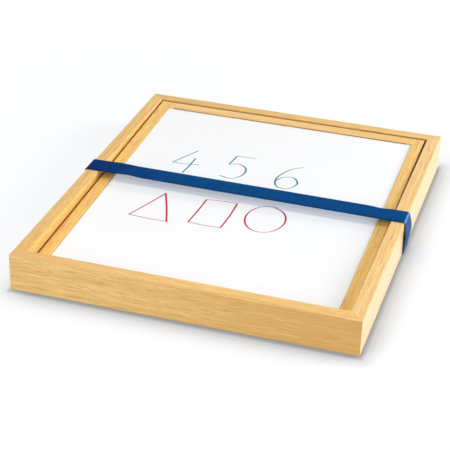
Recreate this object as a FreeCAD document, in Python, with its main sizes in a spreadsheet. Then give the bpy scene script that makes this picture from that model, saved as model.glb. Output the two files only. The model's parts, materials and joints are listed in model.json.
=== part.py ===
"""Double-sided tabletop easel, folded flat and held shut by an elastic strap.

A deep wooden case carries a writing board that faces down. A shallower framed leaf with a board that faces up
nests in the case and turns on two pins near its back end, so the pair opens into an A-frame.
Millimetres, +Z up. The origin is under the middle of the strap's lower run, and the pivot is at the +Y end.
"""
import FreeCAD, Part
import os
import Sketcher
from FreeCAD import Placement, Rotation, Vector

driving_sizes = {
    "case_width": 368,
    "case_depth": 432,
    "case_height": 41,
    "rail_thickness": 15,
    "rail_edge_radius": 1.6,
    "rabbet_width": 6,
    "board_recess": 1.7,
    "face_thickness": 0.6,
    "core_thickness": 3.2,
    "board_play": 0.4,
    "mitre_dowel_diameter": 5,
    "mitre_dowel_cover": 1.1,
    "leaf_thickness": 15,
    "leaf_gap": 2.2,
    "leaf_front_gap": 3,
    "leaf_drop": 0.96,
    "stile_width": 13,
    "leaf_rail_width": 14.5,
    "leaf_edge_radius": 1.2,
    "leaf_dowel_diameter": 6,
    "leaf_dowel_depth": 7,
    "pivot_setback": 14,
    "pin_diameter": 6,
    "pin_depth": 10,
    "pin_end_play": 0.5,
    "pin_running_gap": 0.05,
    "bush_wall": 1,
    "bush_length": 10,
    "washer_diameter": 11,
    "washer_play": 0.3,
    "open_angle": 45,
    "stop_gap": 0.3,
    "stop_bar_drop": 1.2,
    "stop_bar_width": 21,
    "stop_bar_lift": 3,
    "stop_bar_housing": 5,
    "rest_width": 12,
    "rest_height": 6.94,
    "rest_gap": 0.3,
    "strap_width": 25.4,
    "strap_thickness": 1.3,
    "strap_bend_easing": 0.5,
}

doc = FreeCAD.newDocument("tabletop_easel")
sheet = doc.addObject("Spreadsheet::Sheet", "sizes")
for row, (alias, number) in enumerate(driving_sizes.items(), start=1):
    sheet.set(f"A{row}", alias)
    sheet.set(f"B{row}", str(number))
    sheet.setAlias(f"B{row}", alias)
doc.recompute()

# Places that several pieces share, as formulas of the sheet's cells.
half_width = "(sizes.case_width / 2)"
half_depth = "(sizes.case_depth / 2)"
case_bottom = "sizes.strap_thickness"
case_top = "(sizes.strap_thickness + sizes.case_height)"
opening_x = f"({half_width} - sizes.rail_thickness)"
opening_y = f"({half_depth} - sizes.rail_thickness)"
rabbet_depth = "(sizes.board_recess + sizes.face_thickness + sizes.core_thickness)"
shelf_z = f"({case_bottom} + {rabbet_depth})"
rabbet_x = f"({opening_x} + sizes.rabbet_width)"
rabbet_y = f"({opening_y} + sizes.rabbet_width)"

# The leaf is drawn about its pivot: local x along the pins, local y to the back, local z out of the board.
leaf_half = "(sizes.leaf_thickness / 2)"
leaf_x = f"({opening_x} - sizes.leaf_gap)"
leaf_back = "sizes.pivot_setback"
pivot_y = f"({opening_y} - sizes.leaf_gap - sizes.pivot_setback)"
pivot_z = f"({case_top} - sizes.leaf_drop - {leaf_half})"
leaf_front = f"(-sqrt(({pivot_y} + {opening_y} - sizes.leaf_front_gap)^2 - {leaf_half}^2))"
visible_x = f"({leaf_x} - sizes.stile_width)"
visible_back = f"({leaf_back} - sizes.leaf_rail_width)"
visible_front = f"({leaf_front} + sizes.leaf_rail_width)"
shelf_x = f"({visible_x} - sizes.rabbet_width)"
shelf_back = f"({visible_back} - sizes.rabbet_width)"
shelf_front = f"({visible_front} + sizes.rabbet_width)"
leaf_shelf_z = f"({leaf_half} - {rabbet_depth})"
bush_radius = "(sizes.pin_diameter / 2 + sizes.pin_running_gap + sizes.bush_wall)"

# The folded leaf dips to the front until its underside clears the rest strip's upper edge by the rest gap.
rest_back = f"(-{opening_y} + sizes.rest_width)"
rest_run = f"({pivot_y} - {rest_back})"
rest_fall = f"({pivot_z} - {shelf_z} - sizes.rest_height)"
rest_offset = f"({leaf_half} + sizes.rest_gap)"
leaf_tilt = (f"(atan({rest_fall} / {rest_run})"
             f" - asin({rest_offset} / sqrt({rest_run}^2 + {rest_fall}^2)))")

along_x = Rotation(Vector(0, 0, 1), Vector(1, 0, 0))
same_place = 1e-6
finished = []


def value(formula):
    return float(sheet.evalExpression(formula))


def bind(item, formulas):
    for path, formula in formulas.items():
        item.setExpression(path, formula)


def finish(item, label):
    item.Label = label
    finished.append(item)
    return item


def seat_in_leaf(item):
    """Carry a piece drawn about the pivot to the folded leaf, which dips towards the front."""
    item.Placement = Placement(Vector(), Rotation(Vector(1, 0, 0), value(leaf_tilt)))
    bind(item, {
        "Placement.Base.y": pivot_y,
        "Placement.Base.z": pivot_z,
        "Placement.Rotation.Angle": leaf_tilt,
    })
    return item


def plane(body, role):
    return next(feature for feature in body.Origin.OriginFeatures if feature.Role == role)


def new_sketch(body, name, role, offset):
    sketch = body.newObject("Sketcher::SketchObject", name)
    sketch.AttachmentSupport = [(plane(body, role), "")]
    sketch.MapMode = "FlatFace"
    sketch.setExpression("AttachmentOffset.Base.z", offset)
    return sketch


def add_outline(sketch, corners):
    """Closed outline of straight lines whose corners are tied to formulas."""
    first = sketch.GeometryCount
    places = [Vector(value(u), value(v), 0) for u, v in corners]
    count = len(corners)
    for index in range(count):
        sketch.addGeometry(Part.LineSegment(places[index], places[(index + 1) % count]))
    for index in range(count):
        line = first + index
        after = first + (index + 1) % count
        sketch.addConstraint(Sketcher.Constraint("Coincident", line, 2, after, 1))
        for kind, formula in zip(("DistanceX", "DistanceY"), corners[index]):
            tie = sketch.addConstraint(Sketcher.Constraint(kind, -1, 1, line, 1, value(formula)))
            sketch.setExpression(f"Constraints[{tie}]", formula)


def rectangle(low_u, high_u, low_v, high_v):
    return [(low_u, low_v), (high_u, low_v), (high_u, high_v), (low_u, high_v)]


def around(reach_u, reach_v):
    return rectangle(f"-{reach_u}", reach_u, f"-{reach_v}", reach_v)


def add_circle(sketch, radius):
    """Circle about the sketch's own origin."""
    circle = sketch.addGeometry(Part.Circle(Vector(), Vector(0, 0, 1), value(radius)))
    sketch.addConstraint(Sketcher.Constraint("Coincident", circle, 3, -1, 1))
    tie = sketch.addConstraint(Sketcher.Constraint("Radius", circle, value(radius)))
    sketch.setExpression(f"Constraints[{tie}]", radius)


def add_pad(body, sketch, length):
    pad = body.newObject("PartDesign::Pad", sketch.Name + "_pad")
    pad.Profile = sketch
    pad.setExpression("Length", length)
    doc.recompute()
    return pad


def add_pocket(body, sketch, depth, upwards=False):
    """Pocket below its sketch, or above it when upwards; it must take material away."""
    before = body.Shape.Volume
    pocket = body.newObject("PartDesign::Pocket", sketch.Name + "_pocket")
    pocket.Profile = sketch
    pocket.Reversed = upwards
    pocket.setExpression("Length", depth)
    doc.recompute()
    if body.Shape.Volume >= before:
        raise ValueError(f"{pocket.Name} cuts nothing")
    return pocket


def add_fillet(body, base, radius, chosen):
    names = [f"Edge{place}" for place, edge in enumerate(base.Shape.Edges, start=1) if chosen(edge.BoundBox)]
    fillet = body.newObject("PartDesign::Fillet", base.Name + "_fillet")
    fillet.Base = (base, names)
    fillet.setExpression("Radius", radius)
    doc.recompute()
    return fillet


def new_body(name):
    return doc.addObject("PartDesign::Body", name)


def slab(name, outline, low, high):
    """Flat plate: an outline in plan, from one height to another."""
    body = new_body(name)
    sketch = new_sketch(body, name + "_plan", "XY_Plane", low)
    add_outline(sketch, outline)
    add_pad(body, sketch, f"{high} - ({low})")
    return body


def bar(name, section, half_length):
    """Straight bar across the easel: a section in the YZ plane, carried along X."""
    body = new_body(name)
    sketch = new_sketch(body, name + "_section", "YZ_Plane", f"-({half_length})")
    add_outline(sketch, section)
    add_pad(body, sketch, f"2 * ({half_length})")
    return body


def sleeve(name, inner_radius, outer_radius, low, length):
    """Ring about the pivot line."""
    body = new_body(name)
    sketch = new_sketch(body, name + "_section", "YZ_Plane", low)
    add_circle(sketch, outer_radius)
    add_circle(sketch, inner_radius)
    add_pad(body, sketch, length)
    return body


def cylinder(name, radius, length, base, turn):
    item = doc.addObject("Part::Cylinder", name)
    item.Placement = Placement(Vector(), turn)
    bind(item, {"Radius": radius, "Height": length})
    bind(item, {f"Placement.Base.{axis}": formula for axis, formula in zip("xyz", base)})
    return item


def compound(name, items):
    group = doc.addObject("Part::Compound", name)
    group.Links = items
    return group


def boolean(kind, name, base, tool):
    item = doc.addObject(f"Part::{kind}", name)
    item.Base = base
    item.Tool = tool
    return item


def at_height(box, formula):
    """Whether an edge lies level at the given height."""
    return box.ZLength < same_place and abs(box.ZMin - value(formula)) < same_place


def upright_at(box, reach_x, low_y, high_y):
    """Whether an edge stands on an outer corner."""
    at_side = abs(abs(box.Center.x) - value(reach_x)) < same_place
    at_end = min(abs(box.Center.y - value(low_y)), abs(box.Center.y - value(high_y))) < same_place
    return at_side and at_end


# Case ring: open above, with a rabbet round its underside for the lower board. The mitres cut it into rails.
case_ring = slab("case_ring", around(half_width, half_depth), case_bottom, case_top)
ring_opening = new_sketch(case_ring, "ring_opening", "XY_Plane", case_top)
add_outline(ring_opening, around(opening_x, opening_y))
add_pocket(case_ring, ring_opening, "sizes.case_height")
ring_rabbet = new_sketch(case_ring, "ring_rabbet", "XY_Plane", case_bottom)
add_outline(ring_rabbet, around(rabbet_x, rabbet_y))
ring_cut = add_pocket(case_ring, ring_rabbet, rabbet_depth, upwards=True)
add_fillet(case_ring, ring_cut, "sizes.rail_edge_radius", lambda box: (
    at_height(box, case_top) or at_height(box, case_bottom)
    or upright_at(box, half_width, f"-{half_depth}", half_depth)))


# Dowels across the mitres, two high at each corner, as long as the wood allows.
mitre_dowel_length = ("(sqrt(2) * sizes.rail_thickness - sizes.mitre_dowel_diameter"
                      " - 2 * sizes.mitre_dowel_cover)")
dowel_shares = (0.3, 0.7)
dowel_levels = [f"({shelf_z} + {share} * ({case_top} - {shelf_z}))" for share in dowel_shares]
mitre_dowels = []
for side_x in (-1, 1):
    for side_y in (-1, 1):
        heading = Vector(1, -side_x * side_y, 0)
        for level, height in enumerate(dowel_levels):
            back_off = f"{mitre_dowel_length} / (2 * sqrt(2))"
            base_x = f"{side_x} * ({half_width} - sizes.rail_thickness / 2) - {heading.x} * {back_off}"
            base_y = f"{side_y} * ({half_depth} - sizes.rail_thickness / 2) - {heading.y} * {back_off}"
            mitre_dowels.append(cylinder(
                f"mitre_dowel_{side_x + 1}{side_y + 1}{level}", "sizes.mitre_dowel_diameter / 2",
                mitre_dowel_length, (base_x, base_y, height), Rotation(Vector(0, 0, 1), heading)))
mitre_dowel_set = finish(compound("mitre_dowel_set", mitre_dowels), "mitre_dowels")


# Pivot pins: pressed into blind holes in the side rails, and reaching into the leaf.
pin_inner = f"({leaf_x} - sizes.bush_length + sizes.pin_end_play)"
pin_outer = f"({opening_x} + sizes.pin_depth)"
pins = {}
for name, start in (("left", f"-{pin_outer}"), ("right", pin_inner)):
    pin = cylinder(f"pin_{name}", "sizes.pin_diameter / 2", f"{pin_outer} - {pin_inner}",
                   (start, pivot_y, pivot_z), along_x)
    pins[name] = finish(pin, f"pivot_pin_{name}")


# Stop bar under the leaf's pivot end. Its bevel meets the leaf's underside at the open angle.
# Each corner is given by its place behind the pivot and its height above it.
open_lean = f"(sizes.open_angle * 1 deg - {leaf_tilt})"
bevel_reach = f"({leaf_half} + sizes.stop_gap)"
bar_back = f"(sizes.pivot_setback * cos{open_lean} - {leaf_half} * sin{open_lean})"
bar_front = f"({bar_back} - sizes.stop_bar_width)"
bar_top = f"(-{leaf_half} - sizes.stop_bar_drop)"
bar_bottom = f"({shelf_z} + sizes.stop_bar_lift - {pivot_z})"
bevel_top = f"((-{bevel_reach} - {bar_top} * cos{open_lean}) / sin{open_lean})"
bevel_foot = f"((-{bevel_reach} - {bar_back} * sin{open_lean}) / cos{open_lean})"
stop_corners = [(bar_front, bar_bottom), (bar_back, bar_bottom), (bar_back, bevel_foot),
                (bevel_top, bar_top), (bar_front, bar_top)]
stop_section = [(f"{pivot_y} + {behind}", f"{pivot_z} + {above}") for behind, above in stop_corners]
stop_bar = finish(bar("stop_bar_body", stop_section, f"{opening_x} + sizes.stop_bar_housing"), "stop_bar")


# Rest strip inside the front rail. Its top lies along the underside of the folded leaf.
def rest_top(y):
    ahead = f"({y} - {pivot_y})"
    return f"{pivot_z} + ({ahead} * sin{leaf_tilt} - {rest_offset}) / cos{leaf_tilt}"


rest_section = [(f"-{opening_y}", shelf_z), (rest_back, shelf_z), (rest_back, rest_top(rest_back)),
                (f"-{opening_y}", rest_top(f"-{opening_y}"))]
finish(bar("rest_strip_body", rest_section, opening_x), "rest_strip")


# Case rails: each is the part of the ring between two mitre planes.
beyond = "(sizes.rail_thickness / 3)"
for name, reach, span, turn in (("front", half_depth, half_width, 0), ("right", half_width, half_depth, 90),
                                ("back", half_depth, half_width, 180), ("left", half_width, half_depth, 270)):
    wedge = doc.addObject("Part::Wedge", f"{name}_wedge")
    wedge.Placement = Placement(Vector(), Rotation(Vector(0, 0, 1), turn))
    outer_span = f"({span} + {beyond})"
    inner_span = f"({span} - sizes.rail_thickness - {beyond})"
    bind(wedge, {
        "Ymin": f"-({reach} + {beyond})",
        "Ymax": f"-({reach} - sizes.rail_thickness - {beyond})",
        "Xmin": f"-{outer_span}",
        "Xmax": outer_span,
        "X2min": f"-{inner_span}",
        "X2max": inner_span,
        "Zmin": f"{case_bottom} - {beyond}",
        "Zmax": f"{case_top} + {beyond}",
        "Z2min": f"{case_bottom} - {beyond}",
        "Z2max": f"{case_top} + {beyond}",
    })
    stick = boolean("Common", f"{name}_stick", case_ring, wedge)
    rail = boolean("Cut", f"{name}_drilled", stick, mitre_dowel_set)
    if name in pins:
        bored = boolean("Cut", f"{name}_bored", rail, pins[name])
        rail = boolean("Cut", f"{name}_housed", bored, stop_bar)
    finish(rail, f"{name}_rail")


# Lower writing board: coated sheet facing down on a stiff core, both lying in the case's rabbet.
lower_outline = around(f"({rabbet_x} - sizes.board_play)", f"({rabbet_y} - sizes.board_play)")
lower_face_low = f"({case_bottom} + sizes.board_recess)"
lower_core_low = f"({lower_face_low} + sizes.face_thickness)"
finish(slab("lower_face", lower_outline, lower_face_low, lower_core_low), "case_board_face")
finish(slab("lower_core", lower_outline, lower_core_low, shelf_z), "case_board_core")


# Leaf ring: open through the middle, with a rabbet round its face for the upper board.
leaf_outline = rectangle(f"-{leaf_x}", leaf_x, leaf_front, leaf_back)
leaf_ring = slab("leaf_ring", leaf_outline, f"-{leaf_half}", leaf_half)
leaf_opening = new_sketch(leaf_ring, "leaf_opening", "XY_Plane", leaf_half)
add_outline(leaf_opening, rectangle(f"-{shelf_x}", shelf_x, shelf_front, shelf_back))
add_pocket(leaf_ring, leaf_opening, "sizes.leaf_thickness")
leaf_rabbet = new_sketch(leaf_ring, "leaf_rabbet", "XY_Plane", leaf_half)
add_outline(leaf_rabbet, rectangle(f"-{visible_x}", visible_x, visible_front, visible_back))
leaf_cut = add_pocket(leaf_ring, leaf_rabbet, rabbet_depth)
add_fillet(leaf_ring, leaf_cut, "sizes.leaf_edge_radius", lambda box: (
    at_height(box, leaf_half) or at_height(box, f"-{leaf_half}")
    or upright_at(box, leaf_x, leaf_front, leaf_back)))


# Dowels between stiles and rails, below the rabbet.
dowel_z = f"(({leaf_shelf_z} - {leaf_half}) / 2)"
dowel_rows = {"front": f"(({leaf_front} + {shelf_front}) / 2)", "back": f"(({leaf_back} + {shelf_back}) / 2)"}
leaf_dowels = []
for side, joint_x in (("left", f"-{shelf_x}"), ("right", shelf_x)):
    for end, row in dowel_rows.items():
        leaf_dowels.append(cylinder(
            f"leaf_dowel_{side}_{end}", "sizes.leaf_dowel_diameter / 2", "2 * sizes.leaf_dowel_depth",
            (f"{joint_x} - sizes.leaf_dowel_depth", row, dowel_z), along_x))
leaf_dowel_set = compound("leaf_dowel_set", leaf_dowels)
finish(seat_in_leaf(compound("leaf_dowel_group", [leaf_dowel_set])), "leaf_dowels")


# Leaf members: the stiles run through, and the rails fit between them.
def leaf_member(name, outline, bore=None):
    region = slab(f"{name}_region", outline, f"-{leaf_half}", leaf_half)
    stick = boolean("Common", f"{name}_stick", leaf_ring, region)
    member = boolean("Cut", f"{name}_drilled", stick, leaf_dowel_set)
    if bore:
        member = boolean("Cut", f"{name}_bored", member, bore)
    finish(seat_in_leaf(member), name)


for side, low, high, bore_start in (("left", f"-{leaf_x}", f"-{shelf_x}", f"-{leaf_x}"),
                                    ("right", shelf_x, leaf_x, f"{leaf_x} - sizes.bush_length")):
    bush_bore = cylinder(f"bush_bore_{side}", bush_radius, "sizes.bush_length",
                         (bore_start, "0", "0"), along_x)
    leaf_member(f"leaf_{side}_stile", rectangle(low, high, leaf_front, leaf_back), bush_bore)
    bush = sleeve(f"bush_{side}", "sizes.pin_diameter / 2 + sizes.pin_running_gap", bush_radius,
                  bore_start, "sizes.bush_length")
    finish(seat_in_leaf(bush), f"pivot_bush_{side}")
leaf_member("leaf_top_rail", rectangle(f"-{shelf_x}", shelf_x, shelf_back, leaf_back))
leaf_member("leaf_bottom_rail", rectangle(f"-{shelf_x}", shelf_x, leaf_front, shelf_front))


# Washers on the pins keep the leaf in the middle of the case.
washer_thickness = "(sizes.leaf_gap - sizes.washer_play)"
for side, low in (("left", f"-{leaf_x} - {washer_thickness}"), ("right", leaf_x)):
    washer = sleeve(f"washer_{side}", "sizes.pin_diameter / 2 + sizes.washer_play",
                    "sizes.washer_diameter / 2", low, washer_thickness)
    finish(seat_in_leaf(washer), f"pivot_washer_{side}")


# Upper writing board, in the leaf's rabbet.
upper_outline = rectangle(f"-({visible_x} - sizes.board_play)", f"({visible_x} - sizes.board_play)",
                          f"({visible_front} + sizes.board_play)", f"({visible_back} - sizes.board_play)")
upper_core_top = f"({leaf_shelf_z} + sizes.core_thickness)"
upper_face_top = f"({upper_core_top} + sizes.face_thickness)"
finish(seat_in_leaf(slab("upper_core", upper_outline, leaf_shelf_z, upper_core_top)), "leaf_board_core")
finish(seat_in_leaf(slab("upper_face", upper_outline, upper_core_top, upper_face_top)), "leaf_board_face")


# Elastic strap: an endless band round the middle of the case. Its bends are tighter than the rails' edges.
strap_bend = "(sizes.rail_edge_radius - sizes.strap_bend_easing)"
strap = new_body("strap")
strap_outside = new_sketch(strap, "strap_outside", "XZ_Plane", "-sizes.strap_width / 2")
band_x = f"({half_width} + sizes.strap_thickness)"
band_top = f"({case_top} + sizes.strap_thickness)"
add_outline(strap_outside, rectangle(f"-{band_x}", band_x, "0", band_top))
add_pad(strap, strap_outside, "sizes.strap_width")
strap_inside = new_sketch(strap, "strap_inside", "XZ_Plane", "sizes.strap_width / 2")
add_outline(strap_inside, rectangle(f"-{half_width}", half_width, case_bottom, case_top))
strap_loop = add_pocket(strap, strap_inside, "sizes.strap_width")


def strap_corner(reach):
    """Choose the edges along Y that stand at one of the band's two skins."""
    return lambda box: box.YLength > same_place and abs(abs(box.Center.x) - reach) < same_place


strap_eased = add_fillet(strap, strap_loop, strap_bend, strap_corner(value(half_width)))
add_fillet(strap, strap_eased, f"{strap_bend} + sizes.strap_thickness", strap_corner(value(band_x)))
finish(strap, "elastic_strap")

doc.recompute()
for item in doc.Objects:
    if "Invalid" in item.State or "Error" in item.State:
        raise ValueError(f"{item.Name} failed: {item.State}")
for item in finished:
    if item.Shape.isNull() or not item.Shape.isValid():
        raise ValueError(f"{item.Label} has no valid shape")

os.makedirs("parts", exist_ok=True)
for item in finished:
    item.Shape.exportStep(f"parts/{item.Label}.step")
    print(f"{item.Label}: {len(item.Shape.Solids)} solid(s), {item.Shape.Volume / 1000:.2f} cm3")
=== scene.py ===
# Double-sided tabletop easel, folded flat: finishes, elastic band, marker strokes, studio and camera.
import json
import math

import bpy
import numpy as np
from mathutils import Euler, Matrix, Vector


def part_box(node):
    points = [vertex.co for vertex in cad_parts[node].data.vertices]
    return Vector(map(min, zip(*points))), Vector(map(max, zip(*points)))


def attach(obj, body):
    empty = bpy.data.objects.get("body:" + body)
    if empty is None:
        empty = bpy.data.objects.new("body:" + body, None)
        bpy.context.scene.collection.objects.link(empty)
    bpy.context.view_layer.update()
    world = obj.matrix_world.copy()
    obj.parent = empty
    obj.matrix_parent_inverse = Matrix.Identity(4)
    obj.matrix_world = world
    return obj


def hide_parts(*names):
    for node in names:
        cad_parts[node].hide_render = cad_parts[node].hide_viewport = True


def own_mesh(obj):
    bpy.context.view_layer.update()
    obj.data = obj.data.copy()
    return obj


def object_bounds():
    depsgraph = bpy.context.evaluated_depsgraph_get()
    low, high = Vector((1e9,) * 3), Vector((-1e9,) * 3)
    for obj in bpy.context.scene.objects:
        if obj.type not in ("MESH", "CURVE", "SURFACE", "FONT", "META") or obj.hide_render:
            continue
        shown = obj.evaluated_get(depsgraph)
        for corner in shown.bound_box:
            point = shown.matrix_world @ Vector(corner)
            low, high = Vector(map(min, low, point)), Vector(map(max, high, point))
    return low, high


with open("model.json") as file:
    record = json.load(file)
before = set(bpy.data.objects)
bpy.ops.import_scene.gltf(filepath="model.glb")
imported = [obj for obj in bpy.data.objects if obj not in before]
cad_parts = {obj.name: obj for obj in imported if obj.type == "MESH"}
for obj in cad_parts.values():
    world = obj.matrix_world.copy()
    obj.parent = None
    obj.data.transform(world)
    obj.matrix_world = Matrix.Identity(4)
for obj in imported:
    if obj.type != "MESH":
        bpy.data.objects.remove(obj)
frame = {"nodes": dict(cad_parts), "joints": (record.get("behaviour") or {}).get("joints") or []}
cadLow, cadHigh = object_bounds()
nodes = frame["nodes"]
scene = bpy.context.scene
mm = 0.001


def paint(red, green, blue):
    # screen bytes to linear light: ((c + 0.055) / 1.055) to the power 2.4 above the dark toe, c / 12.92 in it
    screen = np.array((red, green, blue)) / 255
    linear = np.where(screen > 0.04045, ((screen + 0.055) / 1.055) ** 2.4, screen / 12.92)
    return (*linear.tolist(), 1.0)


class Wire:
    # a shader socket that takes part in Python sums: each operator adds its Math node
    def __init__(self, tree, socket=None):
        self.tree = tree
        self.socket = socket

    def add(self, kind, settings, sockets, output=0):
        # any node: its settings come first, then the values or links of its sockets
        node = self.tree.nodes.new(kind)
        for name, setting in settings.items():
            setattr(node, name, setting)
        for name, source in sockets.items():
            if isinstance(source, Wire):
                self.tree.links.new(source.socket, node.inputs[name])
            else:
                node.inputs[name].default_value = source
        return Wire(self.tree, node.outputs[output] if node.outputs else None)

    def calc(self, operation, *others):
        return self.add("ShaderNodeMath", {"operation": operation}, dict(enumerate((self, *others))))

    def __add__(self, other):
        return self.calc("ADD", other)

    def __sub__(self, other):
        return self.calc("SUBTRACT", other)

    def __rsub__(self, other):
        return self * -1 + other

    def __mul__(self, other):
        return self.calc("MULTIPLY", other)

    def __truediv__(self, other):
        return self.calc("DIVIDE", other)

    def __pow__(self, other):
        return self.calc("POWER", other)

    def __abs__(self):
        return self.calc("ABSOLUTE")

    __radd__ = __add__
    __rmul__ = __mul__

    def least(self, other):
        return self.calc("MINIMUM", other)

    def most(self, other):
        return self.calc("MAXIMUM", other)

    def ramp(self, low, high):
        # smooth step from 0 at low to 1 at high; low may be the larger
        settings = {"interpolation_type": "SMOOTHSTEP"}
        return self.add("ShaderNodeMapRange", settings, {"Value": self, "From Min": low, "From Max": high})

    def mix(self, share, first, second, blend="MIX"):
        settings = {"data_type": "RGBA", "blend_type": blend}
        return self.add("ShaderNodeMix", settings, {0: share, 6: first, 7: second}, 2)

    def place(self, x, y, z):
        return self.add("ShaderNodeCombineXYZ", {}, {"X": x, "Y": y, "Z": z})

    def noise(self, x, y, z, detail=2.0, rough=0.5):
        sockets = {"Vector": self.place(x, y, z), "Scale": 1.0, "Detail": detail, "Roughness": rough}
        return self.add("ShaderNodeTexNoise", {}, sockets)

    def split(self, spot):
        return [self.add("ShaderNodeSeparateXYZ", {}, {0: spot}, axis) for axis in "XYZ"]

    def local(self, centre, tilt):
        # object coordinates taken to a piece's own axes: turned back by its tilt about X, from its centre
        back = Matrix.Rotation(-tilt, 3, "X")
        spot = self.add("ShaderNodeTexCoord", {}, {}, "Object")
        sockets = {"Vector": spot, "Location": -(back @ Vector(centre)), "Rotation": (-tilt, 0, 0)}
        return self.split(self.add("ShaderNodeMapping", {"vector_type": "POINT"}, sockets))

    def bump(self, height, strength, distance):
        return self.add("ShaderNodeBump", {}, {"Height": height, "Strength": strength, "Distance": distance})

    def principled(self, sockets):
        shader = self.add("ShaderNodeBsdfPrincipled", {}, sockets)
        self.add("ShaderNodeOutputMaterial", {}, {"Surface": shader})


def newFinish(name):
    material = bpy.data.materials.new(name)
    material.use_nodes = True
    material.node_tree.nodes.clear()
    return material, Wire(material.node_tree)


def dress(names, material):
    for name in names:
        for slot in nodes[name].material_slots:
            slot.material = material


# the folded leaf's own axes, read from the hinge and from the face of its board
hinge = next(joint for joint in frame["joints"] if joint["type"] == "hinge")
pivot = Vector(hinge["pos_m"])


def boardPlane(name):
    # the broadest upward face of a board gives the leaf's lean and the height of its surface over the pivot;
    # the corner farthest along the lean is its edge on the pivot side
    mesh = nodes[name].data
    count = len(mesh.polygons)
    areas = np.empty(count)
    normals = np.empty(count * 3)
    centres = np.empty(count * 3)
    mesh.polygons.foreach_get("area", areas)
    mesh.polygons.foreach_get("normal", normals)
    mesh.polygons.foreach_get("center", centres)
    normals = normals.reshape(-1, 3)
    broadest = np.argmax(areas * (normals[:, 2] > 0.5))
    normal = Vector(normals[broadest])
    height = (Vector(centres.reshape(-1, 3)[broadest]) - pivot).dot(normal)
    corners = np.empty(len(mesh.vertices) * 3)
    mesh.vertices.foreach_get("co", corners)
    edge = np.max((corners.reshape(-1, 3) - np.array(pivot)) @ np.array((0, normal.z, -normal.y)))
    return math.atan2(-normal.y, normal.z), height, float(edge)


leafTilt, boardHeight, boardEdge = boardPlane("leaf_board_face")
print("leaf: dips", round(math.degrees(leafTilt), 3), "degrees")


def lineUp(points):
    # board places (x, y along the board from the pivot line, height over its face) to the row frame
    lean = np.array(((1, 0, 0), (0, math.cos(leafTilt), math.sin(leafTilt)),
                     (0, -math.sin(leafTilt), math.cos(leafTilt))))
    return (points + np.array((0, 0, boardHeight))) @ lean + np.array(pivot)


# Wood: growth rings about a far pith, soft bands and fine fibres along the grain, and short open pores
hardwood = dict(
    pale=paint(229, 192, 119), mid=paint(221, 176, 100), deep=paint(194, 134, 72), pore=paint(150, 90, 44),
    # the last colour on the next line is the brown of painted shade, for the faces beside the gaps
    edge=paint(204, 152, 74), seam=paint(150, 102, 52), paintedShade=paint(92, 38, 8),
    ringPitch=4.6 * mm, ringShare=0.16, veinShare=0.6, wander=9 * mm, poreShare=0.4, edgeShare=0.35,
    seamShare=0.4, roughness=0.42, coat=0.2, coatRoughness=0.28, gloss=0.2,
)
leafwood = dict(hardwood, pale=paint(229, 191, 110), mid=paint(221, 175, 92))
plainwood = dict(hardwood, pale=paint(214, 180, 124), mid=paint(204, 165, 106), coat=0.0, roughness=0.58)
dowelwood = dict(hardwood, pale=paint(215, 188, 143), mid=paint(206, 174, 124), coat=0.0, roughness=0.62)


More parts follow.
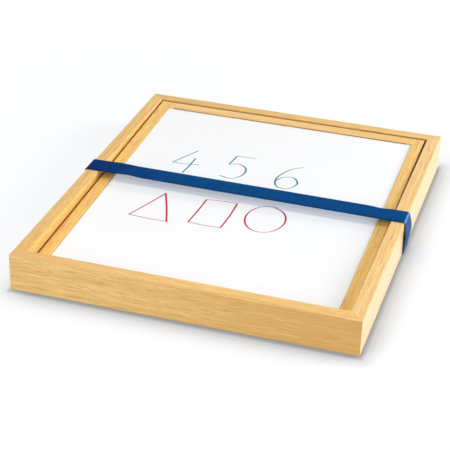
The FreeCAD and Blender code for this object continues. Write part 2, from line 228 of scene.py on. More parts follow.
def woodFinish(name, look, grain, seed, pith, tone=1.0, centre=(0, 0, 0), tilt=0.0, span=None,
               mitre=None, paintedShading=None, drift=None):
    material, wire = newFinish(name)
    x, y, z = wire.local(centre, tilt)
    along, side, up = (x, y, z) if grain == "x" else (y, x, z)
    run = along + seed * 3.7
    # the noise scales are per metre, along the grain and then across it;
    # the grain wanders slowly, so the ring surfaces rise through the faces as long flames
    sway = wire.noise(run * 3.2, side * 22, up * 22, 2) - 0.5
    lift = wire.noise(run * 2.4 + 9, side * 18, up * 18, 2) - 0.5
    across = side - pith[0] + sway * look["wander"]
    above = up - pith[1] + lift * look["wander"]
    radius = (across * across + above * above) ** 0.5
    ring = (radius / look["ringPitch"]).calc("FRACT")
    late = ring.ramp(0.2, 0.9) * ring.ramp(1.0, 0.93)
    ringPatch = wire.noise(run * 5, side * 60, up * 60, 2).ramp(0.3, 0.65)
    # bands a few millimetres wide, thin dark veins, fine fibres, and pores as short dashes in the early wood
    band = wire.noise(run * 4.5, side * 170, up * 170, 4, 0.6)
    streak = wire.noise(run * 45, side * 800, up * 800, 3, 0.65)
    fibre = wire.noise(run * 30, side * 1250, up * 1250, 3, 0.6)
    vein = wire.noise(run * 34 + 5, side * 680, up * 680, 2).ramp(0.56, 0.68)
    dash = wire.noise(run * 120, side * 2300, up * 2300, 1)
    pores = dash.ramp(0.60, 0.70) * (1 - late * 0.75)
    broad = wire.noise(run * 1.6 + 4, side * 9, up * 9, 1)
    tint = wire.mix(band.ramp(0.36, 0.64), look["mid"], look["pale"])
    tint = wire.mix(late * ringPatch * look["ringShare"], tint, look["deep"])
    tint = wire.mix(vein * look["veinShare"], tint, look["deep"])
    tint = wire.mix(pores * look["poreShare"], tint, look["pore"])
    if drift:
        # the colour deepens along the stick: shares at its two ends, on the top face and on the sides
        topAt, halfLength, onTop, onSides = drift
        way = along / (2 * halfLength) + 0.5
        top = up.ramp(topAt - 1.2 * mm, topAt - 0.3 * mm)
        topShare = (onTop[0] + way * (onTop[1] - onTop[0])).most(0.0)
        sideShare = (onSides[0] + way * (onSides[1] - onSides[0])).most(0.0)
        tint = wire.mix(top * topShare + (1 - top) * sideShare, tint, look["edge"])
    shade = (0.56 + fibre * 0.22 + streak * 0.66 + broad * 0.16) * tone
    if paintedShading:
        # painted shade in brown on a face beside a gap, or painted light that makes the face paler where the
        # share is below 0, in the outermost wood of that face
        face, deep, paintedShade = paintedShading
        skin = side.ramp(face + deep, face + deep * 0.3)
        tint = wire.mix(skin * max(paintedShade, 0), tint, look["paintedShade"])
        shade = shade * (1 + skin * max(-paintedShade, 0))
    tint = wire.mix(1.0, tint, shade, "MULTIPLY")
    if span:
        # long edges, where the lacquer lies thicker and darker: near a side face and a top or bottom face
        (lowSide, highSide), (lowUp, highUp) = span
        toSide = (side - lowSide).least(highSide - side)
        toTop = (up - lowUp).least(highUp - up)
        patchy = wire.noise(run * 60, side * 90, up * 90, 2).ramp(0.1, 0.6)
        edge = toSide.most(toTop).ramp(2.0 * mm, 0.5 * mm) * patchy
        tint = wire.mix(edge * look["edgeShare"], tint, look["edge"])
    if mitre:
        # glue line of the mitre: how far a place is from the diagonal that starts at the outer corner
        halfRun, outer = mitre
        fromCorner = halfRun - abs(along) - abs(side - outer)
        seam = abs(fromCorner).ramp(0.35 * mm, 0.1 * mm)
        tint = wire.mix(seam * look["seamShare"], tint, look["seam"])
    relief = fibre * 0.5 + band * 0.25 - pores * 0.9
    wire.principled({
        "Base Color": tint,
        "Roughness": look["roughness"] - fibre * 0.08 + pores * 0.2,
        "Normal": wire.bump(relief, 0.22, 0.15 * mm),
        "Specular IOR Level": look["gloss"],
        "Coat Weight": look["coat"],
        "Coat Roughness": look["coatRoughness"],
    })
    return material


# each stick is sawn from another place in the log: seed along the grain, pith beside and below it, in metres;
# the painted-shading entry holds the face, how deep it goes from there, and its share of painted shade, brown
# where the gap beside that face lies in shadow, or below 0 of painted light, which makes the face paler;
# drift holds the shares of the deeper colour at both ends, on the top face and then on the sides
caseRails = {
    "front_rail": dict(grain="x", seed=1.3, tone=1.05, pith=(0.036, -0.030), coat=0.55,
                       drift=((0.57, -0.13), (-0.2, 0.72))),
    # painted shade on the back rail's inner face, where the gap behind the leaf lies in shadow
    "back_rail": dict(grain="x", seed=4.1, tone=1.04, pith=(-0.060, -0.090), paintedShading=("low", 0.9 * mm, 0.6),
                      drift=((0.4, -0.1), (0.0, 0.0))),
    # painted light: the left rail's inner face is paler, as if lit from the right
    "left_rail": dict(grain="y", seed=6.2, tone=1.04, pith=(0.070, -0.100), paintedShading=("high", -2.2 * mm, -0.2),
                      drift=((0.45, -0.4), (0.0, 0.0))),
    "right_rail": dict(grain="y", seed=8.7, tone=1.06, pith=(-0.055, -0.080), coat=0.9),
}
leafSticks = {
    # painted shade on the stiles' outer faces and on the top rail's wall by the board, where the gaps lie in
    # shadow
    "leaf_left_stile": dict(grain="y", seed=11.4, tone=1.04, pith=(0.050, -0.120),
                            paintedShading=("low", 0.9 * mm, 0.2)),
    "leaf_right_stile": dict(grain="y", seed=13.9, tone=1.07, pith=(-0.070, -0.110),
                             paintedShading=("high", -0.9 * mm, 0.25)),
    "leaf_top_rail": dict(grain="x", seed=15.2, tone=1.08, pith=(0.080, -0.090), coat=0.9,
                          paintedShading=("board", 0.3 * mm, 0.65)),
    "leaf_bottom_rail": dict(grain="x", seed=17.8, tone=1.05, pith=(-0.040, -0.130)),
}
innerSticks = {"stop_bar": 21.3, "rest_strip": 23.9}  # plain sticks and their seeds
innerPith = (0.05, -0.06)
dowelSeeds = {"mitre_dowels": 25.5, "leaf_dowels": 27.1}
dowelPith = (0.02, 0.0)
boardSunk = 1.7 * mm  # how far the leaf's board lies below its frame
boardGap = 0.4 * mm  # between the board's edge and the rail behind it


def paintedShadingAt(stick, faces):
    # the face of a stick's painted shade or painted light as a coordinate, with its depth and share
    if "paintedShading" not in stick:
        return None
    face, deep, paintedShade = stick["paintedShading"]
    return faces[face], deep, paintedShade


def dressCase():
    for name, stick in caseRails.items():
        low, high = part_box(name)
        centre = (low + high) / 2
        sideAxis, runAxis = (1, 0) if stick["grain"] == "x" else (0, 1)
        outer = low[sideAxis] if centre[sideAxis] < 0 else high[sideAxis]
        pith = (centre[sideAxis] + stick["pith"][0], centre.z + stick["pith"][1])
        span = ((low[sideAxis], high[sideAxis]), (low.z, high.z))
        halfRun = (cadHigh.y - cadLow.y) / 2 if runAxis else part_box("right_rail")[1].x
        look = dict(hardwood, coat=stick.get("coat", hardwood["coat"]))
        faces = dict(low=low[sideAxis], high=high[sideAxis])
        drift = (high.z, halfRun, *stick["drift"]) if "drift" in stick else None
        dress([name], woodFinish(name + "_wood", look, stick["grain"], stick["seed"], pith, stick["tone"],
                                 span=span, mitre=(halfRun, outer), paintedShading=paintedShadingAt(stick, faces), drift=drift))
    for name, seed in innerSticks.items():
        dress([name], woodFinish(name + "_wood", plainwood, "x", seed, innerPith))
    dowels = woodFinish("mitre_dowel_wood", dowelwood, "x", dowelSeeds["mitre_dowels"], dowelPith)
    dress(["mitre_dowels"], dowels)
    print("case: wood on", len(caseRails), "rails and the pieces inside")


def dressLeaf():
    halfThick = boardHeight + boardSunk
    for name, stick in leafSticks.items():
        low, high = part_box(name)
        centre = (low + high) / 2 - pivot
        sideAxis = 1 if stick["grain"] == "x" else 0
        pith = (centre[sideAxis] + stick["pith"][0], stick["pith"][1])
        span = ((low[sideAxis] - pivot[sideAxis], high[sideAxis] - pivot[sideAxis]), (-halfThick, halfThick))
        look = dict(leafwood, coat=stick.get("coat", leafwood["coat"]))
        faces = dict(low=span[0][0], high=span[0][1], board=boardEdge + boardGap)
        dress([name], woodFinish(name + "_wood", look, stick["grain"], stick["seed"], pith, stick["tone"],
                                 pivot, leafTilt, None if sideAxis else span, paintedShading=paintedShadingAt(stick, faces)))
    dowels = woodFinish("leaf_dowel_wood", dowelwood, "x", dowelSeeds["leaf_dowels"], dowelPith,
                        centre=pivot, tilt=leafTilt)
    dress(["leaf_dowels"], dowels)
    print("leaf: wood on", len(leafSticks), "sticks")


# White dry-wipe coating on thin sheet, with a faint haze where it has been wiped
coating = dict(white=(0.935, 0.937, 0.935, 1.0), haze=(0.885, 0.89, 0.895, 1.0), hazeShare=0.35,
               gritShare=0.06, roughness=0.16)


def coatedSheet():
    material, wire = newFinish("dry_wipe_coating")
    x, y, z = wire.local((0, 0, 0), 0.0)
    swipe = wire.noise(x * 9 + y * 4, y * 26 - x * 11, z * 9, 3, 0.6)
    cloud = wire.noise(x * 14, y * 14, z * 14, 2)
    haze = swipe.ramp(0.4, 0.8) * cloud.ramp(0.3, 0.75)
    grit = wire.noise(x * 900, y * 900, z * 900, 1)
    peel = wire.noise(x * 420, y * 420, z * 420, 2)
    wire.principled({
        "Base Color": wire.mix(haze * coating["hazeShare"] + grit * coating["gritShare"],
                               coating["white"], coating["haze"]),
        "Roughness": coating["roughness"] + haze * 0.03 + grit * 0.04,
        "Normal": wire.bump(peel, 0.03, 0.05 * mm),
    })
    return material


# Brown hardboard behind both coated sheets: matted strands with dark specks
hardboard = dict(dark=paint(88, 58, 36), light=paint(134, 94, 60), speckShare=0.4, roughness=0.62)


def pressedFibre():
    material, wire = newFinish("pressed_fibre")
    x, y, z = wire.local((0, 0, 0), 0.0)
    strand = wire.noise(x * 320 + y * 160, y * 380 - x * 140, z * 700, 4, 0.65)
    speck = wire.noise(x * 1500, y * 1500, z * 1500, 1).ramp(0.62, 0.7)
    tint = wire.mix(strand.ramp(0.3, 0.7), hardboard["dark"], hardboard["light"])
    wire.principled({
        "Base Color": wire.mix(speck * hardboard["speckShare"], tint, hardboard["dark"]),
        "Roughness": hardboard["roughness"] + strand * 0.15,
        "Normal": wire.bump(strand, 0.2, 0.1 * mm),
    })
    return material


# Pivot pieces: ground steel pins in turned brass bushes, with black nylon washers
steel = dict(name="ground_steel", bright=paint(205, 205, 208), dull=paint(150, 148, 146), roughness=0.26)
brass = dict(name="turned_brass", bright=paint(222, 190, 118), dull=paint(168, 132, 70), roughness=0.28)
nylon = dict(dark=paint(24, 22, 21), light=paint(46, 43, 41), roughness=0.5)


def turnedMetal(metal):
    # fine rings left by the tool round the pivot line, and a little tarnish
    material, wire = newFinish(metal["name"])
    x, y, z = wire.local(pivot, 0.0)
    rings = wire.noise(x * 5200, 0.0, 0.0, 2)
    tarnish = wire.noise(x * 260, y * 260, z * 260, 3).ramp(0.45, 0.75)
    wire.principled({
        "Base Color": wire.mix(tarnish * 0.6, metal["bright"], metal["dull"]),
        "Metallic": 1.0,
        "Roughness": metal["roughness"] + rings * 0.12 + tarnish * 0.12,
        "Normal": wire.bump(rings, 0.12, 0.03 * mm),
    })
    return material


def blackNylon():
    material, wire = newFinish("black_nylon")
    x, y, z = wire.local((0, 0, 0), 0.0)
    grain = wire.noise(x * 1800, y * 1800, z * 1800, 2)
    wire.principled({
        "Base Color": wire.mix(grain, nylon["dark"], nylon["light"]),
        "Roughness": nylon["roughness"] + grain * 0.15,
        "Normal": wire.bump(grain, 0.1, 0.05 * mm),
    })
    return material


def gridMesh(name, points, across=None, closed=(True, True), caps=False):
    # quads between neighbours of a rows x columns grid of points, wrapped where a direction is closed;
    # across holds the metres along rows and columns, one more than the points where it wraps, for the UV map
    rows, columns = points.shape[:2]
    index = np.arange(rows * columns).reshape(rows, columns)
    i = np.arange(rows if closed[0] else rows - 1)[:, None]
    j = np.arange(columns if closed[1] else columns - 1)[None, :]
    nextI, nextJ = (i + 1) % rows, (j + 1) % columns
    quads = np.stack([index[i, j], index[nextI, j], index[nextI, nextJ], index[i, nextJ]], axis=-1)
    faces = quads.reshape(-1, 4).tolist()
    if caps:
        faces += [index[0].tolist(), index[-1][::-1].tolist()]
    mesh = bpy.data.meshes.new(name)
    mesh.from_pydata(points.reshape(-1, 3).tolist(), [], faces)
    if across:
        u, v = across
        corners = np.stack([np.stack(np.broadcast_arrays(u[i + a], v[j + b]), axis=-1)
                            for a, b in ((0, 0), (1, 0), (1, 1), (0, 1))], axis=2)
        layer = mesh.uv_layers.new(name="weave")
        layer.data.foreach_set("uv", corners.astype(np.float32).ravel())
    mesh.shade_smooth()
    piece = bpy.data.objects.new(name, mesh)
    scene.collection.objects.link(piece)
    return piece


# Elastic band: woven over lengthwise rubber cords, drawn round the case, a little slack beside its folds
band = dict(
    ribs=20, ribHeight=0.05 * mm, skew=-0.0064, slip=5.5 * mm, bend=1.8 * mm, runSteps=120, sideSteps=24,
    leftSwell=0.3 * mm, rightSwell=1.9 * mm, rimSwell=1.0 * mm, foldSteps=7, ribSteps=5, edgeSteps=4,
    flat=(0.0254, 0.745), keep=0.09,
    wobbles=((0.153, 1, -0.9 * mm, 9 * mm), (-0.150, 1, 0.8 * mm, 12 * mm), (-0.134, -1, 1.3 * mm, 12 * mm)),
)
bandLow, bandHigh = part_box("elastic_strap")
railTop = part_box("right_rail")[1].z
bandThick = bandHigh.z - railTop
bandWidth = bandHigh.y - bandLow.y


def bandPath():
    # a rounded rectangle in the XZ plane, clockwise from the left end of the top run: place, outward way
    bend = band["bend"]
    reachX, lowZ, highZ = bandHigh.x - bandThick / 2, bandLow.z + bandThick / 2, bandHigh.z - bandThick / 2
    runs, sides = np.linspace(0, 1, band["runSteps"]), np.linspace(0, 1, band["sideSteps"])
    quarter = np.linspace(0, math.pi / 2, band["foldSteps"] + 2)[1:-1]
    left, right, foot, head = -reachX + bend, reachX - bend, lowZ + bend, highZ - bend
    places, headings = [], []

    def straight(start, end, steps, heading):
        places.append(np.array(start) + np.outer(steps, np.array(end) - np.array(start)))
        headings.append(np.tile(np.array(heading, float), (len(steps), 1)))

    def fold(centre, first):
        turn = first - quarter
        heading = np.column_stack([np.cos(turn), np.sin(turn)])
        places.append(np.array(centre) + bend * heading)
        headings.append(heading)

    straight((left, highZ), (right, highZ), runs, (0, 1))
    fold((right, head), math.pi / 2)
    straight((reachX, head), (reachX, foot), sides, (1, 0))
    fold((right, foot), 0.0)
    straight((right, lowZ), (left, lowZ), runs, (0, -1))
    fold((left, foot), -math.pi / 2)
    straight((-reachX, foot), (-reachX, head), sides, (-1, 0))
    fold((left, head), math.pi)
    return np.concatenate(places), np.concatenate(headings)


def bandSection(thick):
    # a flat oval: two ribbed faces joined by half-round selvedges; columns are across and outward
    half = bandWidth / 2 - thick / 2
    v = np.linspace(-half, half, band["ribs"] * band["ribSteps"])
    rib = band["ribHeight"] * np.cos((v / half + 1) * math.pi * band["ribs"])
    rim = np.linspace(math.pi / 2, -math.pi / 2, band["edgeSteps"] + 2)[1:-1]
    outer = np.column_stack([v, thick / 2 - band["ribHeight"] + rib])
    backEdge = np.column_stack([half + thick / 2 * np.cos(rim), thick / 2 * np.sin(rim)])
    return np.concatenate([outer, backEdge, -outer, -backEdge])


def elasticBand():
    # each point is the path's place, plus the section's height along the outward way and its width along Y;
    # the sides swell, more at the back rim on the right; the band runs askew and slips back on the right side
    path, heading = bandPath()
    section = bandSection(bandThick)
    level = (path[:, 1] - bandLow.z) / (bandHigh.z - bandLow.z)
    rightward = (path[:, 0] - bandLow.x) / (bandHigh.x - bandLow.x)
    backRim = np.clip(0.5 + section[:, 0] / bandWidth, 0, 1) ** 2
    most = np.where(heading[:, 0] > 0, band["rightSwell"], band["leftSwell"])[:, None]
    most = most + np.outer(heading[:, 0] > 0, band["rimSwell"] * backRim)
    swell = most * (np.abs(heading[:, 0]) * np.sin(math.pi * level ** 1.3) ** 1.5)[:, None]
    points = np.empty((len(path), len(section), 3))
    points[..., 0] = path[:, None, 0] + (section[None, :, 1] + swell) * heading[:, None, 0]
    askew = band["skew"] * path[:, 0] + band["slip"] * (1 - level) * rightward
    points[..., 1] = section[None, :, 0] + askew[:, None]
    points[..., 2] = path[:, None, 1] + (section[None, :, 1] + swell) * heading[:, None, 1]
    top = np.clip(heading[:, 1], 0, 1)[:, None]
    for placeX, edge, height, reach in band["wobbles"]:
        nearX = np.exp(-((path[:, None, 0] - placeX) / reach) ** 2)
        nearEdge = np.clip(0.5 + edge * section[None, :, 0] / bandWidth, 0, 1) ** 2
        points[..., 2] += height * top * nearX * nearEdge
    steps = np.linalg.norm(np.diff(np.vstack([path, path[:1]]), axis=0), axis=1)
    ring = np.linalg.norm(np.diff(np.vstack([section, section[:1]]), axis=0), axis=1)
    across = (np.concatenate([[0], np.cumsum(steps)]), np.concatenate([[0], np.cumsum(ring)]))
    piece = gridMesh("elastic_band", points, across)
    print("band: loop of", round(float(steps.sum()), 4), "m,", len(piece.data.polygons), "faces")
    return piece


# Weave of the band: navy yarns, the weft's turn per metre, and the X between which the painted shade at its
# left end and the painted light on its right side come in
weave = dict(
    deep=paint(0, 56, 108), light=paint(0, 80, 138), worn=paint(0, 88, 146), selvedge=paint(0, 24, 66),
    paintedLeftShade=paint(0, 20, 82), paintedSideLight=paint(120, 138, 170), paintedFoldHighlight=paint(128, 178, 226),
    sheenTint=paint(90, 150, 230), sheen=0.06, sheenRoughness=0.35, gloss=0.06, roughness=0.62,
    weftTurn=5200.0, leftShadeFrom=(-0.06, -0.2), sideLightFrom=(0.17, 0.18),
)


def wovenElastic():
    # weft yarns cross the cords as rounded bumps that change sides from cord to cord
    material, wire = newFinish("woven_elastic")
    u, v, _ = wire.split(wire.add("ShaderNodeUVMap", {"uv_map": "weave"}, {}))
    cord = (v * (2 * math.pi * band["ribs"] / bandWidth)).calc("COSINE")
    weft = (u * weave["weftTurn"] + cord * 1.4).calc("SINE")
    yarn = (cord * 0.5 + 0.5) * (weft * 0.35 + 0.65)
    fuzz = wire.noise(u * 2600, v * 2600, 0.0, 2)
    wear = wire.noise(u * 40, v * 120, 0.0, 3).ramp(0.35, 0.75)
    tint = wire.mix(yarn * 0.6 + fuzz * 0.3, weave["deep"], weave["light"])
    tint = wire.mix(wear * 0.2, tint, weave["worn"])
    # the two selvedges are woven tighter and darker; v runs across the face, round the rim and back
    fromRim = (v / bandWidth).calc("PINGPONG", 0.5)
    tint = wire.mix(fromRim.ramp(0.075, 0.02) * 0.55, tint, weave["selvedge"])
    # painted shade darkens the left end, painted light makes the right side paler, and a painted highlight
    # lies on the fold over the right edge
    x = wire.local((0, 0, 0), 0.0)[0]
    tint = wire.mix(x.ramp(*weave["leftShadeFrom"]) * 0.7, tint, weave["paintedLeftShade"])
    foldPlace = 2 * (bandHigh.x - bandThick / 2 - band["bend"]) + band["bend"] * math.pi / 4
    pastFold = u - foldPlace
    # painted light: the run past the right fold is paler, as if lit from the right
    tint = wire.mix(pastFold.ramp(0.0, 2 * mm) * x.ramp(*weave["sideLightFrom"]) * 0.2, tint, weave["paintedSideLight"])
    # painted highlight along the fold over the right edge
    tint = wire.mix(abs(pastFold).ramp(1.3 * mm, 0.3 * mm) * 0.6, tint, weave["paintedFoldHighlight"])
    wire.principled({
        "Base Color": tint,
        "Roughness": weave["roughness"] + fuzz * 0.2,
        "Normal": wire.bump(yarn * 0.8 + fuzz * 0.3, 0.5, 0.12 * mm),
        "Specular IOR Level": weave["gloss"],
        "Sheen Weight": weave["sheen"],
        "Sheen Roughness": weave["sheenRoughness"],
        "Sheen Tint": weave["sheenTint"],
    })
    return material


def sweep(name, paths, sides, ups, profile):
    # a closed profile carried along each open path: place + width * sideways + height * up, with closed ends
    pieces = []
    wide, tall = profile[None, :, :1], profile[None, :, 1:]
    for path, sideways, up in zip(paths, sides, ups):
        points = path[:, None, :] + sideways[:, None, :] * wide + up[:, None, :] * tall
        pieces.append(gridMesh(name, points, closed=(False, True), caps=True))
    with bpy.context.temp_override(active_object=pieces[0], selected_editable_objects=pieces):
        bpy.ops.object.join()
    pieces[0].name = name
    pieces[0].data.name = name
    return pieces[0]


# Marker strokes on the leaf's board: each is drawn through a few points of a unit cell; a cell gives its
# left, foot, width and height in millimetres, an ink its full and its dry colour
strokes = dict(
    film=0.05 * mm, sunk=0.02 * mm, thin=1.0 * mm, broad=2.3 * mm, nib=math.radians(20), steps=40,
    blueCells=((-104, 33, 34, 56), (-46, 36, 36, 56), (17, 33, 38, 57)),
    redCells=((-108, -77, 46, 59), (-41, -72, 40, 57), (14, -67, 46, 58)),
    blueInk=(paint(0, 116, 136), paint(0, 142, 160)), redInk=(paint(184, 16, 40), paint(206, 62, 76)),
    roughness=0.38, gloss=0.2,
)
four = [[(0.64, 1.0), (0.34, 0.67), (0.05, 0.34)], [(0.05, 0.34), (0.5, 0.36), (0.98, 0.41)],
        [(0.72, 0.66), (0.68, 0.3), (0.61, -0.03)]]
five = [[(0.30, 0.98), (0.62, 0.98), (0.94, 1.01)], [(0.30, 0.98), (0.26, 0.77), (0.21, 0.57)],
        [(0.21, 0.57), (0.52, 0.65), (0.82, 0.50), (0.83, 0.22), (0.55, 0.02), (0.12, 0.07)]]
six = [[(0.78, 0.99), (0.42, 0.80), (0.16, 0.40), (0.27, 0.07), (0.62, 0.02), (0.84, 0.27), (0.64, 0.50),
        (0.32, 0.44), (0.18, 0.26)]]
triangle = [[(0.52, 1.0), (0.27, 0.50), (0.0, 0.0)], [(0.50, 0.99), (0.76, 0.47), (0.98, -0.02)],
            [(0.01, 0.03), (0.5, 0.0), (1.0, 0.01)]]
square = [[(0.10, 0.97), (0.06, 0.5), (0.0, 0.02)], [(0.0, 0.04), (0.45, 0.01), (0.94, 0.03)],
          [(0.08, 0.95), (0.5, 0.99), (0.98, 1.0)], [(0.97, 1.01), (0.97, 0.5), (0.92, 0.01)]]
ringTurn = np.linspace(math.radians(70), math.radians(445), 14)
ringSize = np.linspace(0.5, 0.46, 14)
ringShape = [list(zip(0.5 + ringSize * np.cos(ringTurn), 0.5 + ringSize * np.sin(ringTurn)))]


def smoothLine(points, steps):
    # a curve through the points: between two, the cubic whose end slopes are half the neighbours' chord
    points = np.array(points, float)
    padded = np.vstack([2 * points[0] - points[1], points, 2 * points[-1] - points[-2]])
    t = np.linspace(0, len(points) - 1 - 1e-9, steps)
    k = t.astype(int)
    s = (t - k)[:, None]
    p0, p1, p2, p3 = padded[k], padded[k + 1], padded[k + 2], padded[k + 3]
    return 0.5 * (2 * p1 + (p2 - p0) * s + (2 * p0 - 5 * p1 + 4 * p2 - p3) * s ** 2
                  + (3 * p1 - p0 - 3 * p2 + p3) * s ** 3)


def inkStrokes(name, cells, signs):
    # a low arched film as wide as a chisel nib looks across the stroke, drawn in to a round end
    arch = np.linspace(math.pi, 0, 7)
    profile = np.column_stack([np.cos(arch), np.sin(arch)])
    paths, sides, ups = [], [], []
    for (left, foot, wide, tall), sign in zip(cells, signs):
        for points in sign:
            line = smoothLine(points, strokes["steps"]) * np.array((wide, tall)) + np.array((left, foot))
            line = line * mm
            slope = np.gradient(line, axis=0)
            slope /= np.linalg.norm(slope, axis=1)[:, None]
            normal = np.column_stack([-slope[:, 1], slope[:, 0]])
            lean = np.abs(np.sin(np.arctan2(slope[:, 1], slope[:, 0]) - strokes["nib"]))
            width = (strokes["thin"] + (strokes["broad"] - strokes["thin"]) * lean ** 2) / 2
            walked = np.concatenate([[0], np.cumsum(np.linalg.norm(np.diff(line, axis=0), axis=1))])
            toEnd = np.minimum(walked, walked[-1] - walked)
            width *= np.sqrt(np.clip(1 - (1 - np.clip(toEnd / width, 0, 1)) ** 2, 0.02, 1))
            fromPivot = line - np.array((0, pivot.y))
            flat = np.column_stack([fromPivot, np.full(len(line), -strokes["sunk"])])
            origin = lineUp(flat)
            paths.append(origin)
            sides.append(lineUp(flat + np.column_stack([normal, np.zeros(len(line))])) - origin)
            sides[-1] *= width[:, None]
            ups.append((lineUp(flat + np.array((0, 0, 1))) - origin) * (strokes["film"] + strokes["sunk"]))
    return sweep(name, paths, sides, ups, profile)


def markerInk(name, full, dry):
    material, wire = newFinish(name)
    x, y, z = wire.local(pivot, leafTilt)
    streak = wire.noise(x * 500, y * 500, z * 500, 2)
    pool = wire.noise(x * 70, y * 70, z * 70, 2)
    wire.principled({
        "Base Color": wire.mix(streak.ramp(0.35, 0.75) * 0.5 + pool * 0.25, full, dry),
        "Roughness": strokes["roughness"] + streak * 0.2,
        "Normal": wire.bump(streak, 0.1, 0.02 * mm),
        "Specular IOR Level": strokes["gloss"],
    })
    return material


# Studio: a pale floor that stays white to the eye but for a painted shadow round the case,
# soft panels (place, size, watts, tint) and an even room
studio = dict(
    floor=(0.81, 0.86, 0.93, 1.0), mottle=(0.79, 0.84, 0.91, 1.0), spread=7.0, drop=0.2 * mm,
    seen=0.4, lift=0.67, farLift=0.9, roomTint=(1.0, 0.98, 0.95, 1.0), room=0.2,
    # reaches and depths of the floor's painted shadow: under pieces, round the case's outline and at its foot
    reach=40 * mm, depth=0.44, rimShadowReach=26 * mm, rimShadowDepth=0.28, contactShadowReach=6 * mm, contactShadowDepth=0.3,
    shadowLeftFade=(-0.24, -0.15), farFrom=(0.2, 1.7),
    panels=(
        ("overhead", (0.0, 0.1, 3.9), 0.9, 38.0, (1.0, 0.985, 0.955)),
        ("side", (1.7, 0.15, 0.85), 1.0, 14.0, (0.955, 0.985, 1.03)),
        ("front", (-0.85, -1.75, 1.3), 1.5, 31.0, (0.97, 0.99, 1.04)),
        ("back", (1.8, 1.1, 0.6), 1.0, 28.0, (0.955, 0.985, 1.04)),
        ("left", (-1.7, 0.3, 0.9), 1.3, 2.0, (1.0, 0.985, 0.96)),
    ),
    softened=("side", "back"),
)


def seenBackground(wire):
    # rays that show the background: those straight to the eye, and those in gloss or through glass
    kinds = ("Is Camera Ray", "Is Glossy Ray", "Is Transmission Ray")
    eye, gloss, through = [wire.add("ShaderNodeLightPath", {}, {}, kind) for kind in kinds]
    return eye, gloss.most(through)


def layStudio():
    spread, drop = studio["spread"], studio["drop"]
    sheet = bpy.data.meshes.new("floor")
    corners = [(spread * x, spread * y, -drop) for x, y in ((-1, -1), (1, -1), (1, 1), (-1, 1))]
    sheet.from_pydata(corners, [], [(0, 1, 2, 3)])
    floor = bpy.data.objects.new("floor", sheet)
    scene.collection.objects.link(floor)
    material, wire = newFinish("pale_floor")
    x, y, z = wire.local((0, 0, 0), 0.0)
    tint = wire.mix(wire.noise(x * 3, y * 3, z, 2) * 0.2, studio["floor"], studio["mottle"])
    # as background the floor is part paint and part glow; to the eye both darken as a painted shadow where a
    # piece stands over it, and by the distance from the case's outline, which goes round the corners
    eye, others = seenBackground(wire)
    seen = eye.most(others)
    free = wire.add("ShaderNodeAmbientOcclusion", {"samples": 8}, {"Distance": studio["reach"]}, 1)
    # painted shadow where pieces hide the floor's sky nearby
    over = ((1 - free).least(0.5) * 2) ** 1.5 * studio["depth"]
    beside = (abs(x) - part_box("right_rail")[1].x).most(0.0)
    before = (abs(y) - cadHigh.y).most(0.0)
    apart = (beside * beside + before * before) ** 0.5
    # painted shadow round the case's outline, darker still at its foot
    rim = apart.ramp(studio["rimShadowReach"], 0.0) * studio["rimShadowDepth"]
    contactShadow = apart.ramp(studio["contactShadowReach"], 0.0) * studio["contactShadowDepth"]
    clear = (1 - eye * over.most(rim) * x.ramp(*studio["shadowLeftFade"])) * (1 - eye * contactShadow)
    far = ((x * x + y * y) ** 0.5).ramp(*studio["farFrom"])
    share = (1 - seen * (1 - studio["seen"])) * clear
    lift = studio["lift"] + far * (studio["farLift"] - studio["lift"])
    level = seen * clear * lift
    wire.principled({
        "Base Color": wire.mix(1.0, tint, share, "MULTIPLY"),
        "Roughness": 1.0,
        "Specular IOR Level": 0.0,
        "Emission Color": wire.place(level, level, level),
        "Emission Strength": 1.0,
    })
    floor.data.materials.append(material)
    world = bpy.data.worlds.new("even_room")
    world.use_nodes = True
    world.node_tree.nodes.clear()
    wire = Wire(world.node_tree)
    eye, others = seenBackground(wire)
    light = wire.add("ShaderNodeBackground", {}, {"Color": studio["roomTint"], "Strength": studio["room"]})
    white = wire.add("ShaderNodeBackground", {}, {"Color": (1.0, 1.0, 1.0, 1.0), "Strength": 1.0})
    both = wire.add("ShaderNodeMixShader", {}, {0: eye.most(others), 1: light, 2: white})
    wire.add("ShaderNodeOutputWorld", {}, {"Surface": both})
    scene.world = world
    for name, place, size, power, tint in studio["panels"]:
        lamp = bpy.data.lights.new(name + "_panel", "AREA")
        lamp.size = size
        lamp.energy = power
        lamp.color = tint
        panel = bpy.data.objects.new(name + "_panel", lamp)
        panel.location = place
        panel.visible_glossy = name != "back"
        panel.rotation_euler = (-Vector(place)).to_track_quat("-Z", "Y").to_euler()
        scene.collection.objects.link(panel)
    print("studio:", len(studio["panels"]), "panels over a pale floor")


def lightChoice(name, piece, state):
    # a group of one piece that a lamp's light or shadow takes in or leaves out
    group = bpy.data.collections.new(name)
    group.objects.link(piece)
    group.collection_objects[0].light_linking.link_state = state
    return group


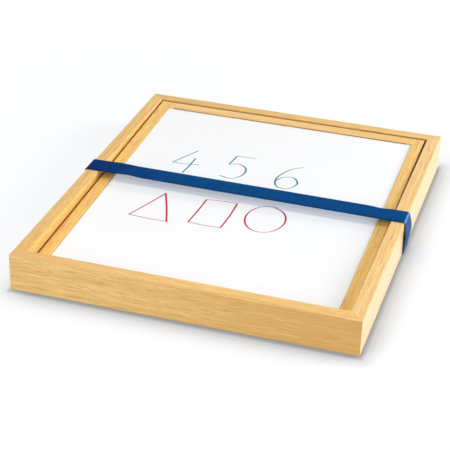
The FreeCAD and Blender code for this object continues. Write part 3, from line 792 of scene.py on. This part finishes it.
def softenShadow(board, cover):
    # the softened panels light the board through twins that throw no shadow of the cover,
    # so its shadow on the white stays pale
    boardAlone = lightChoice("board_alone", board, "INCLUDE")
    boardLeftOut = lightChoice("board_left_out", board, "EXCLUDE")
    coverLeftOut = lightChoice("band_left_out", cover, "EXCLUDE")
    for name in studio["softened"]:
        panel = bpy.data.objects[name + "_panel"]
        twin = panel.copy()
        twin.name = name + "_board_panel"
        scene.collection.objects.link(twin)
        panel.light_linking.receiver_collection = boardLeftOut
        twin.light_linking.receiver_collection = boardAlone
        twin.light_linking.blocker_collection = coverLeftOut
    print("shadow: softened for", len(studio["softened"]), "panels")


# Camera where the photograph was taken from: metres from the origin, turn in degrees, lens and sensor in mm
standpoint = dict(place=(0.3796, -1.3119, 0.7612), turn=(60.782, -1.228, 17.650), lens=111.07, sensor=36.0)


def setCamera():
    data = bpy.data.cameras.new("camera")
    data.lens = standpoint["lens"]
    data.sensor_width = standpoint["sensor"]
    camera = bpy.data.objects.new("camera", data)
    camera.location = standpoint["place"]
    camera.rotation_euler = Euler([math.radians(angle) for angle in standpoint["turn"]])
    scene.collection.objects.link(camera)
    scene.camera = camera


scene.view_settings.view_transform = "Standard"
setCamera()
layStudio()
dressCase()
dressLeaf()
dress(["case_board_face", "leaf_board_face"], coatedSheet())
dress(["case_board_core", "leaf_board_core"], pressedFibre())
dress(["pivot_pin_left", "pivot_pin_right"], turnedMetal(steel))
dress(["pivot_bush_left", "pivot_bush_right"], turnedMetal(brass))
dress(["pivot_washer_left", "pivot_washer_right"], blackNylon())
print("boards and pivot pieces: finished")

bandPiece = elasticBand()
bandPiece.data.materials.append(wovenElastic())
softenShadow(nodes["leaf_board_face"], bandPiece)
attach(bandPiece, "strap")
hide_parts("elastic_strap")
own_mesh(bandPiece)

for colour, signs in (("blue", (four, five, six)), ("red", (triangle, square, ringShape))):
    drawn = inkStrokes(colour + "_strokes", strokes[colour + "Cells"], signs)
    drawn.data.materials.append(markerInk(colour + "_ink", *strokes[colour + "Ink"]))
    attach(drawn, "leaf")
print("strokes: drawn")
